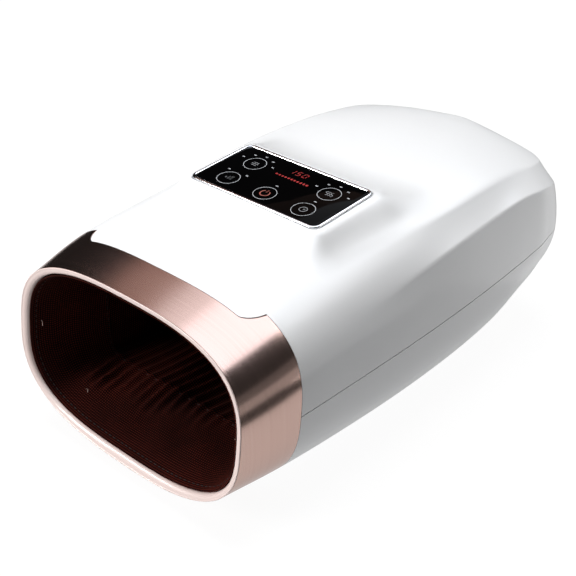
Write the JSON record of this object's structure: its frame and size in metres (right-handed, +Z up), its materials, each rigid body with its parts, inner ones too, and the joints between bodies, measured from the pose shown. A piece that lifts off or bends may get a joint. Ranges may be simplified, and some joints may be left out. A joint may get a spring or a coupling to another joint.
{
  "type": "hand massager",
  "caption": "Cordless air-compression hand massager: white shell with a metallic mouth ring, a fabric-lined tunnel for the hand and a touch panel on its deck.",
  "frame": {"origin": "on the resting surface, under the middle of the bounding box", "axes": "+Z up; +Y from the mouth towards the tail, along the tunnel; +X to the right as the hand goes in"},
  "size_m": [0.172, 0.2992, 0.1224],
  "materials": {
    "airbag_black_film": "black film",
    "battery_blue_sleeve": "blue shrink sleeve",
    "black_plastic": "moulded black",
    "board_green": "green solder mask",
    "frame_chrome": "bright chrome",
    "heater_amber_film": "amber film",
    "hose_silicone": "translucent silicone",
    "liner_dark_fabric": "dark brown-black fine mesh",
    "lip_pale_pink": "pale pink, satin",
    "plate_ivory_plastic": "moulded ivory",
    "ring_rose_metal": "rose-gold metallic, glossy",
    "rubber_dark": "dark rubber",
    "shell_white": "white, semi-gloss",
    "steel_bright": "bright steel",
    "touch_glass_black": "black glass with white print",
    "tray_grey_plastic": "moulded grey"
  },
  "bodies": {
    "casing": {"air_manifold": "black_plastic", "battery_cell_lower": "battery_blue_sleeve", "battery_cell_upper": "battery_blue_sleeve", "battery_holder": "black_plastic", "board_screw_1": "steel_bright", "board_screw_2": "steel_bright", "board_screw_3": "steel_bright", "board_screw_4": "steel_bright", "case_screw_1": "steel_bright", "case_screw_2": "steel_bright", "case_screw_3": "steel_bright", "case_screw_4": "steel_bright", "chamber_lower": "tray_grey_plastic", "chamber_screw_1": "steel_bright", "chamber_screw_2": "steel_bright", "chamber_screw_3": "steel_bright", "chamber_screw_4": "steel_bright", "chamber_upper": "tray_grey_plastic", "charge_socket": "steel_bright", "foot_1": "rubber_dark", "foot_2": "rubber_dark", "foot_3": "rubber_dark", "foot_4": "rubber_dark", "liner_funnel": "liner_dark_fabric", "liner_sides": "liner_dark_fabric", "lower_airbag": "airbag_black_film", "lower_hose": "hose_silicone", "lower_shell": "shell_white", "main_board": "board_green", "mouth_lip": "lip_pale_pink", "mouth_ring": "ring_rose_metal", "panel_frame": "frame_chrome", "pump_cover": "black_plastic", "pump_cradle": "rubber_dark", "pump_head": "black_plastic", "pump_hose": "hose_silicone", "pump_motor": "steel_bright", "touch_board": "board_green", "touch_glass": "touch_glass_black", "upper_airbag": "airbag_black_film", "upper_hose": "hose_silicone", "upper_shell": "shell_white", "valve_body_1": "plate_ivory_plastic", "valve_body_2": "plate_ivory_plastic", "valve_spring_1": "steel_bright", "valve_spring_2": "steel_bright"},
    "press_carrier": {"press_plate": "plate_ivory_plastic", "heating_pad": "heater_amber_film", "liner_ceiling": "liner_dark_fabric"},
    "acupressure_carrier": {"acupressure_plate": "plate_ivory_plastic", "liner_floor": "liner_dark_fabric"},
    "cam_rotor": {"pump_cam": "steel_bright"},
    "plunger_left": {"valve_plunger_1": "steel_bright"},
    "plunger_right": {"valve_plunger_2": "steel_bright"}
  },
  "joints": [
    {"name": "press_slide", "type": "slide", "parent": "casing", "child": "press_carrier", "axis": [0, 0, -1], "range_m": [0, 0.008], "stiffness_N_per_m": 300, "springref_m": -0.006, "deforming": ["upper_airbag"]},
    {"name": "acupressure_slide", "type": "slide", "parent": "casing", "child": "acupressure_carrier", "axis": [0, 0, 1], "range_m": [0, 0.008], "deforming": ["lower_airbag"]},
    {"name": "cam_turn", "type": "hinge", "parent": "casing", "child": "cam_rotor", "pos_m": [0.0095, 0.0741, 0.0275], "axis": [1, 0, 0], "continuous": true},
    {"name": "plunger_left_slide", "type": "slide", "parent": "casing", "child": "plunger_left", "axis": [0, 0, -1], "range_m": [0, 0.0015], "stiffness_N_per_m": 100, "springref_m": -0.003, "deforming": ["valve_spring_1"]},
    {"name": "plunger_right_slide", "type": "slide", "parent": "casing", "child": "plunger_right", "axis": [0, 0, -1], "range_m": [0, 0.0015], "stiffness_N_per_m": 100, "springref_m": -0.003, "deforming": ["valve_spring_2"]}
  ]
}
